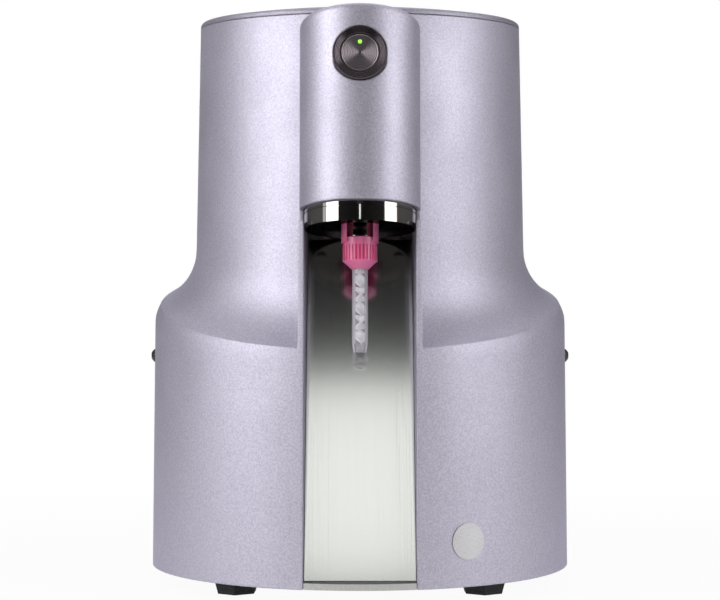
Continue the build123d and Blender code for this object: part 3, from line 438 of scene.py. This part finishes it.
nose_low, nose_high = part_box("outlet_nose")
nose_centre = (nose_low + nose_high) / 2
groove_radius, rib_start, rib_length = 0.008, 0.0037, 0.0077
rib_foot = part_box("mixer_collar")[0].z + rib_start
finishes["pink_plastic"] = ribbed_collar(
    "ribbed_pink", (1.0, 0.24, 0.47), (0.82, 0.08, 0.25),
    nose_centre, groove_radius, rib_foot, rib_foot + rib_length,
)
print("collar ribs in mm", in_mm(rib_foot, rib_foot + rib_length))

# %% [markdown]
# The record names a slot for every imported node, and each slot has one finish by now. The
# loop below puts the finish on the node's own mesh, whose shape is left alone.

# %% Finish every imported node
record = frame["record"]
slot_of = {part["node"]: part["material_slot"] for part in record["subparts"]}
body_of = {node: body for body, nodes in record["behaviour"]["bodies"].items() for node in nodes}
for node, thing in frame["nodes"].items():
    for slot in thing.material_slots:
        slot.material = finishes[slot_of[node]]
print("finished nodes", len(slot_of))

# %% [markdown]
# Every new piece ends as an object at the origin, with its place in its mesh. Rounded pieces
# are shaded smooth, but where two faces meet at more than about thirty degrees the real edge
# is crisp, and a sharp mark on the edge keeps the two sides apart.


# %% From a shape to a piece
usual_corner = 32.0


def mark_sharp(shape, sharp_degrees=usual_corner):
    """Shades a shape smooth, apart from its sharp and its open edges."""
    for face in shape.faces:
        face.smooth = True
    for edge in shape.edges:
        closed = len(edge.link_faces) == 2
        edge.smooth = closed and edge.calc_face_angle(0.0) < math.radians(sharp_degrees)


def new_piece(name, shape, material):
    """Makes an object of a finished shape."""
    piece = bpy.data.objects.new(name, bpy.data.meshes.new(name))
    shape.to_mesh(piece.data)
    shape.free()
    piece.data.materials.append(material)
    bpy.context.scene.collection.objects.link(piece)
    return piece


print("piece helpers ready")

# %% [markdown]
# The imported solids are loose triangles, which render as flat facets. For every solid that
# isn't redrawn later, a copy is merged into one skin, its sharp edges are kept sharp and the
# rest is shaded smooth. The copy takes the solid's place and moves with the same body.


# %% Smooth skins
def smooth_skin(node, sharp_degrees, merge=0.000004, sliver=0.000002):
    """A merged, smooth-shaded copy of a node that stands for it."""
    shape = bmesh.new()
    shape.from_mesh(frame["nodes"][node].data)
    bmesh.ops.remove_doubles(shape, verts=shape.verts, dist=merge)
    bmesh.ops.dissolve_degenerate(shape, edges=shape.edges, dist=sliver)
    mark_sharp(shape, sharp_degrees)
    skin = new_piece(node + "_skin", shape, finishes[slot_of[node]])
    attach(skin, body_of[node])
    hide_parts(node)
    return skin


crisp = {"outlet_flange": 12.0, "mixer_collar": 14.0, "button_bezel": 14.0}
redrawn = {"button_led", "outlet_nose", "mixer_element"}
skins = {}
for node in sorted(set(slot_of) - redrawn):
    skins[node] = smooth_skin(node, crisp.get(node, usual_corner))
print("skins", len(skins))

# %% [markdown]
# The head is half a cylinder with a hole for the button. Long thin triangles run round the
# hole, and normals averaged from them would show as bands. The wall is truly round, so its
# corners can be given the normals of a cylinder.


# %% True round wall of the head
def true_round(skin, centre, radius, slack=0.00004, lean=0.05):
    """Points the corners of an upright round wall straight away from its axis."""
    mesh = skin.data
    normals = [corner.vector.copy() for corner in mesh.corner_normals]
    changed = 0
    for face in mesh.polygons:
        spokes = [(mesh.vertices[index].co - centre).xy for index in face.vertices]
        on_wall = all(abs(spoke.length - radius) < slack for spoke in spokes)
        if on_wall and abs(face.normal.z) < lean:
            for loop, spoke in zip(face.loop_indices, spokes):
                normals[loop] = spoke.to_3d().normalized()
                changed += 1
    mesh.normals_split_custom_set(normals)
    return changed


head_low, head_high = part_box("head_cover")
head_radius = (head_high.x - head_low.x) / 2
head_centre = Vector((0.0, head_low.y + head_radius, 0.0))
print("round corners", true_round(skins["head_cover"], head_centre, head_radius))

# %% [markdown]
# Under the outlet the ring is seen against the dark room, so its faces that look down are painted
# near black as shade, and the polished wall keeps the bright finish. The heads of its screws are
# dark too. A second finish on the same skin does this without splitting the ring.


# %% Dark underside of the ring
def second_finish(skin, material, faces):
    """Gives some faces of a skin a finish of their own."""
    skin.data.materials.append(material)
    for face in faces:
        face.material_index = 1


dim_edge = (0.4, 0.39, 0.4, 1.0)
down_limit = -0.5
# A near-black tone for the faces that look down: painted shade.
ring_underside_painted_shade = bare_metal(
    "ring_underside_painted_shade", (0.045, 0.042, 0.041), roughness=0.12, grain=900.0, Specular_Tint=dim_edge
)
ring = skins["outlet_flange"]
facing_down = [face for face in ring.data.polygons if face.normal.z < down_limit]
second_finish(ring, ring_underside_painted_shade, facing_down)
skins["plate_screws"].data.materials[0] = bare_metal(
    "dark_screw", (0.06, 0.056, 0.055), roughness=0.2, grain=900.0, Specular_Tint=dim_edge
)
print("faces looking down", len(facing_down))

# %% [markdown]
# The base plate is painted, but its front edge under the splash panel shines like bare
# steel. The faces are picked by the way they look and by the width of the panel above them.

# %% Bright edge of the base under the panel
front_limit, edge_depth = -0.7, 0.02
panel_half_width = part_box("splash_panel")[1].x
edge_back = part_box("base_plate")[0].y + edge_depth
edge_faces = [
    face for face in skins["base_plate"].data.polygons
    if face.normal.y < front_limit and face.center.y < edge_back
    and abs(face.center.x) < panel_half_width
]
second_finish(skins["base_plate"], finishes["zinc_steel"], edge_faces)
print("edge faces", len(edge_faces))

# %% [markdown]
# A pale line is let into the front of the ring, where the mixer's turn is read off. It is a
# small bar of its own with rounded edges, because a painted stripe would have no thickness
# to catch the light.


# %% Index line on the ring
def rounded_bar(name, low, high, edge_radius, material):
    """A small bar between two corners, with rounded edges."""
    low, high = Vector(low), Vector(high)
    shape = bmesh.new()
    bmesh.ops.create_cube(shape, size=1.0)
    bmesh.ops.scale(shape, verts=shape.verts, vec=high - low)
    bmesh.ops.translate(shape, verts=shape.verts, vec=(high + low) / 2)
    bmesh.ops.bevel(
        shape, geom=shape.edges[:], offset=edge_radius, segments=3,
        profile=0.5, affect="EDGES", material=-1,
    )
    for face in shape.faces:
        face.smooth = True
    return new_piece(name, shape, material)


flange_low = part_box("outlet_flange")[0]
line_half, line_depth, line_proud = 0.00042, 0.0006, 0.00004
line_foot, line_top, line_edge = 0.0002, 0.0072, 0.00012
index_line = rounded_bar(
    "index_line",
    (-line_half, flange_low.y - line_proud, flange_low.z + line_foot),
    (line_half, flange_low.y + line_depth, flange_low.z + line_top),
    line_edge,
    moulded("index_fill", (0.86, 0.85, 0.82), roughness=0.35, grain=1500.0, depth=0.00003),
)
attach(index_line, "machine")
print("index line in mm", in_mm(*index_line.dimensions))

# %% [markdown]
# The button, its bezel, its lens and the outlet nose are turned parts. Each is a short line
# of points spun round an axis. A full spin closes on itself, so the seam and the points on
# the axis are merged, and then the faces are turned outwards.


# %% Lathe
def lathe(name, line, centre, material, steps=96, axis=y_axis, merge=0.000003):
    """Spins a line of (radius, height) points round an axis through a centre."""
    shape = bmesh.new()
    points = []
    for radius, height in line:
        point = Vector(centre)
        point.x += radius
        point[axis] = height
        points.append(shape.verts.new(point))
    edges = [shape.edges.new(pair) for pair in zip(points, points[1:])]
    turn = Vector((0.0, 0.0, 0.0))
    turn[axis] = 1.0
    bmesh.ops.spin(
        shape, geom=[*points, *edges], cent=centre, axis=turn,
        angle=math.tau, steps=steps, use_merge=True,
    )
    bmesh.ops.remove_doubles(shape, verts=shape.verts, dist=merge)
    bmesh.ops.recalc_face_normals(shape, faces=shape.faces)
    mark_sharp(shape)
    return new_piece(name, shape, material)


print("lathe ready")

# %% [markdown]
# The rings on the button's face are real. A saw-tooth line is spun round the button's axis,
# so a lamp to one side shows as a bright wedge on the rings, as it does on the real one. A
# bump would blur there, because the rings are as wide as a pixel or two.

# %% Turned face of the button
face_inset, face_chamfer, hub_radius, ring_count = 0.00033, 0.00015, 0.0002, 11
ridge, valley, face_back = (cap_low.y + depth for depth in (-0.00022, -0.00006, 0.0001))
face_radius = cap_high.x - face_inset
ring_pitch = (face_radius - face_chamfer - hub_radius) / ring_count
face_line = [(0.0, ridge)]
for ring_index in range(ring_count):
    inner = hub_radius + ring_index * ring_pitch
    face_line += [(inner + ring_pitch / 2, valley), (inner + ring_pitch, ridge)]
face_line += [(face_radius, ridge + face_chamfer), (face_radius, face_back), (0.0, face_back)]
button_face = lathe("button_face", face_line, button_centre, finishes["button_black"])
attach(button_face, "button")
print("face radius and pitch in mm", in_mm(face_radius, ring_pitch))

# %% [markdown]
# A thin bright lip runs round the face, where the tool has broken the edge. A chamfer on the face
# itself would be too narrow to catch a light, so a small circle of points is spun into a ring
# that stands a little proud. Its metal is lighter than the face's, which adds a painted highlight
# to the light the ring catches.

# %% Lip of the face
lip_radius = 0.00018
lip_turns = [math.radians(30 * step) for step in range(13)]
lip_line = [
    (face_radius + lip_radius * math.cos(turn), ridge + lip_radius * math.sin(turn))
    for turn in lip_turns
]
# The lip's tone is lighter than the face's: a painted highlight.
lip_highlight_metal = bare_metal("button_rim", (0.5, 0.46, 0.46), roughness=0.3, grain=2000.0)
button_rim = lathe("button_rim", lip_line, button_centre, lip_highlight_metal)
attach(button_rim, "button")
print("lip in mm", in_mm(face_radius, lip_radius))

# %% [markdown]
# The bezel outside the face has coarser rings, and each slopes one way. It stays still while
# the button sinks, so its rings are a piece of their own that rides on the machine.

# %% Rings of the bezel
bezel_low, bezel_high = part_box("button_bezel")
bezel_gap, bezel_margin, bezel_rings, crest_share = 0.0009, 0.00053, 5, 0.6
foot, groove, crest = (bezel_low.y + depth for depth in (0.0001, -0.00003, -0.00016))
bezel_inner, bezel_outer = face_radius + bezel_gap, bezel_high.x - bezel_margin
bezel_pitch = (bezel_outer - bezel_inner) / bezel_rings
bezel_line = [(bezel_inner, foot)]
for ring_index in range(bezel_rings):
    inner = bezel_inner + ring_index * bezel_pitch
    bezel_line += [(inner, groove), (inner + bezel_pitch * crest_share, crest)]
bezel_line += [(bezel_outer, foot), (bezel_inner, foot)]
bezel_face = lathe("bezel_face", bezel_line, button_centre, finishes["bezel_black"])
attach(bezel_face, "machine")
print("bezel rings in mm", in_mm(bezel_inner, bezel_outer, bezel_pitch))

# %% [markdown]
# A small green lens stands in the upper part of the face. The solid one is a plain stud, so
# a quarter of a flat arc is spun into a dome, a little narrower than the stud, and stands
# for it.

# %% Green lens
led_low, led_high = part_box("button_led")
lens_share, lens_rise = 0.78, 0.0004
lens_radius = (led_high.x - led_low.x) / 2 * lens_share
lens_turns = [math.radians(15 * step) for step in range(7)]
lens_line = [
    (lens_radius * math.sin(turn), ridge - lens_rise * math.cos(turn)) for turn in lens_turns
]
lens_line += [(lens_radius, face_back), (0.0, face_back)]
led_centre = (led_low + led_high) / 2
led_lens = lathe("led_lens", lens_line, led_centre, finishes["led_green"], steps=32)
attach(led_lens, "button")
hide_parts("button_led")
print("lens radius in mm", in_mm(lens_radius))

# %% [markdown]
# The outlet nose is a short round spout that the mixer's two prongs clasp. The solid one
# narrows towards its end, but what shows of it between the prongs has straight sides. So it
# is spun again, with straight sides and a broken edge, and the new one stands for it.

# %% Outlet nose
nose_radius, nose_edge = (nose_high.x - nose_low.x) / 2, 0.0004
nose_line = [
    (0.0, nose_low.z),
    (nose_radius - nose_edge, nose_low.z),
    (nose_radius, nose_low.z + nose_edge),
    (nose_radius, nose_high.z),
    (0.0, nose_high.z),
]
outlet_nose = lathe(
    "outlet_nose_turned", nose_line, nose_centre, finishes["chrome"], steps=72, axis=z_axis
)
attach(outlet_nose, "machine")
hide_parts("outlet_nose")
print("nose radius in mm", in_mm(nose_radius))

# %% [markdown]
# The mixing element is a chain of blades. Each is a flat strip twisted by half a turn, and
# each is twisted the other way round from the one before and starts square to it. A spin
# that also moves down at every step draws such a strip from one straight line. An open strip
# has no outside yet, so its faces are turned outwards once it has its thickness.


# %% Mixing element
def twisted_blades(name, low, high, radius, blades, material, rows=14, thickness=0.0009):
    """A chain of strips down the z axis, each twisted by half a turn."""
    shape = bmesh.new()
    middle, length = (low + high) / 2, (high.z - low.z) / blades
    starts = ((Vector((radius, 0.0, 0.0)), -math.pi), (Vector((0.0, radius, 0.0)), math.pi))
    for blade in range(blades):
        across, turn = starts[blade % 2]
        top = Vector((middle.x, middle.y, high.z - blade * length))
        points = [shape.verts.new(top + across * share) for share in (1.0, 0.0, -1.0)]
        edges = [shape.edges.new(pair) for pair in zip(points, points[1:])]
        bmesh.ops.spin(
            shape, geom=[*points, *edges], cent=top, axis=(0.0, 0.0, 1.0),
            dvec=(0.0, 0.0, -length / rows), angle=turn, steps=rows,
        )
    bmesh.ops.solidify(shape, geom=shape.faces[:], thickness=thickness)
    bmesh.ops.recalc_face_normals(shape, faces=shape.faces)
    return new_piece(name, shape, material)


element_low, element_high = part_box("mixer_element")
element_gap, blade_length = 0.0001, 0.0068
element_radius = (element_high.x - element_low.x) / 2 - element_gap
blade_count = max(1, round((element_high.z - element_low.z) / blade_length))
element = twisted_blades(
    "mixing_blades", element_low, element_high, element_radius, blade_count,
    finishes[slot_of["mixer_element"]],
)
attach(element, "mixer")
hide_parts("mixer_element")
print("blades", blade_count, "radius in mm", in_mm(element_radius))

# %% [markdown]
# The picture was taken like a jeweller's: a white table and background, two tall soft boxes
# in front to the left and right, and dark cloth everywhere else. The white of the table and
# the air is seen by the camera, by mirrors and through clear pieces, but it doesn't light
# the machine. The table keeps a little of its own shading near the machine for the shadow.

# %% White that is seen and doesn't light
white = (1.0, 1.0, 1.0, 1.0)


def background_share(finish):
    """One where a ray comes straight from the camera, a mirror or a clear piece."""
    rays = ("Is Camera Ray", "Is Glossy Ray", "Is Transmission Ray")
    camera_ray, glossy_ray, clear_ray = (
        finish.node("ShaderNodeLightPath", output=ray) for ray in rays
    )
    return finish.spread(camera_ray + glossy_ray + clear_ray, (0.0, 1.0))


def send_mix(finish, share, first, second, end):
    """Mixes two shaders by a share and joins them to the last node."""
    blend = finish.node("ShaderNodeMixShader", None, {0: share, 1: first, 2: second})
    finish.feed(finish.tree.nodes[end], {"Surface": blend})


def white_table(name):
    table = Finish(name, (0.8, 0.8, 0.8), Roughness=0.7)
    lit = Amount(table, table.shader.outputs[0])
    glow = table.node("ShaderNodeEmission", None, {"Color": white, "Strength": 1.0})
    shadow_end, least_glow = 0.8, 0.95
    from_middle = table.off_axis((0.0, 0.0, 0.0), z_axis)
    glow_share = table.spread(from_middle, (shadow_end / 4, shadow_end), (least_glow, 1.0))
    send_mix(table, background_share(table) * glow_share, lit, glow, "Material Output")
    return table.material


table_white = white_table("white_table")
print("table finish", table_white.name)

# %% [markdown]
# The dark end of the room is what the chrome ring and the top of the panel mirror. The cloth
# hangs in front, above and at both sides, and a strip of it lies on the table towards the
# camera. It is kept out of the camera's own sight.


# %% Table top and cloth
def studio_sheet(name, material, corner, right, up, seen=True):
    """A flat sheet spanned from one corner by two vectors."""
    shape = bmesh.new()
    bmesh.ops.create_grid(shape, x_segments=1, y_segments=1, size=0.5)
    bmesh.ops.translate(shape, verts=shape.verts, vec=(0.5, 0.5, 0.0))
    right, up = Vector(right), Vector(up)
    turn = Matrix((right, up, right.cross(up).normalized())).transposed().to_4x4()
    bmesh.ops.transform(shape, matrix=Matrix.Translation(corner) @ turn, verts=shape.verts)
    sheet = new_piece(name, shape, material)
    sheet.visible_camera = seen


table_half = 30.0
studio_sheet(
    "table_top", table_white, (-table_half, -table_half, 0.0),
    (2 * table_half, 0.0, 0.0), (0.0, 2 * table_half, 0.0),
)
dark = Finish("dark_cloth", (0.03, 0.03, 0.032), Roughness=0.9).material
grey = Finish("grey_cloth", (0.25, 0.25, 0.26), Roughness=0.9).material
room_end = -8.4
cloths = (
    ("cloth_front", dark, (-10.0, room_end, 0.0), (20.0, 0.0, 0.0), (0.0, 0.0, 9.0)),
    ("cloth_left", grey, (-1.3, 3.2, 0.0), (0.0, -3.5, 0.0), (0.0, 0.0, 2.4)),
    ("cloth_right", grey, (1.3, -0.3, 0.0), (0.0, 3.5, 0.0), (0.0, 0.0, 2.4)),
    ("cloth_low", dark, (-1.2, room_end, 0.002), (2.4, 0.0, 0.0), (0.0, 7.6, 0.0)),
    ("cloth_above", dark, (-4.0, room_end, 4.5), (8.0, 0.0, 0.0), (0.0, 8.3, 0.0)),
)
for name, material, corner, right, up in cloths:
    studio_sheet(name, material, corner, right, up, seen=False)
print("cloths", len(cloths))

# %% [markdown]
# The two soft boxes leave the bright bands on the lacquer and the two strips on the chrome
# ring. A weak one above and behind lifts the lid. The pale card far behind the camera is
# what the lower panel mirrors. Each is given by how bright its face is, so that a change of
# its size leaves its reflection as bright as it was.


# %% Lights
def soft_box(name, place, aim, size, radiance):
    """A rectangular lamp, whose power follows from how bright its face is."""
    lamp = bpy.data.lights.new(name, "AREA")
    lamp.shape = "RECTANGLE"
    lamp.size, lamp.size_y = size
    lamp.energy = radiance * math.pi * size[0] * size[1]
    box = bpy.data.objects.new(name, lamp)
    box.location = place
    box.rotation_euler = (Vector(aim) - Vector(place)).to_track_quat("-Z", "Y").to_euler()
    box.visible_camera = False
    bpy.context.scene.collection.objects.link(box)
    return box


machine_middle, panel_foot = (0.0, -0.05, 0.19), (0.0, -0.1, 0.1)
tall_box = (0.56, 1.15)
lamps = [
    soft_box("left_soft_box", (-0.87, -0.63, 0.7), machine_middle, tall_box, radiance=4.6),
    soft_box("right_soft_box", (0.93, -0.51, 0.7), machine_middle, tall_box, radiance=3.0),
    soft_box("top_soft_box", (0.0, 0.5, 1.6), machine_middle, (1.4, 0.7), radiance=1.2),
    soft_box("far_card", (0.0, -8.1, 2.78), panel_foot, (1.6, 1.78), radiance=1.33),
]
print("lamps", [(lamp.name, round(lamp.data.energy, 2)) for lamp in lamps])

# %% [markdown]
# The air of the room gives an even, dim light from all sides, as pale walls would. A ray
# that the camera, a mirror or a clear piece sends past everything meets plain white.


# %% Air
class Air(Finish):
    """The world, built with the same helpers as a material."""

    def __init__(self, name):
        self.world = bpy.data.worlds.new(name)
        self.world.use_nodes = True
        self.tree = self.world.node_tree


air = Air("studio_air")
walls = air.tree.nodes["Background"]
air.feed(walls, {"Color": (0.5, 0.5, 0.51, 1.0), "Strength": 1.0})
pale = air.node("ShaderNodeBackground", None, {"Color": white, "Strength": 1.0})
dim = Amount(air, walls.outputs[0])
send_mix(air, background_share(air), dim, pale, "World Output")
bpy.context.scene.world = air.world
print("world", air.world.name)
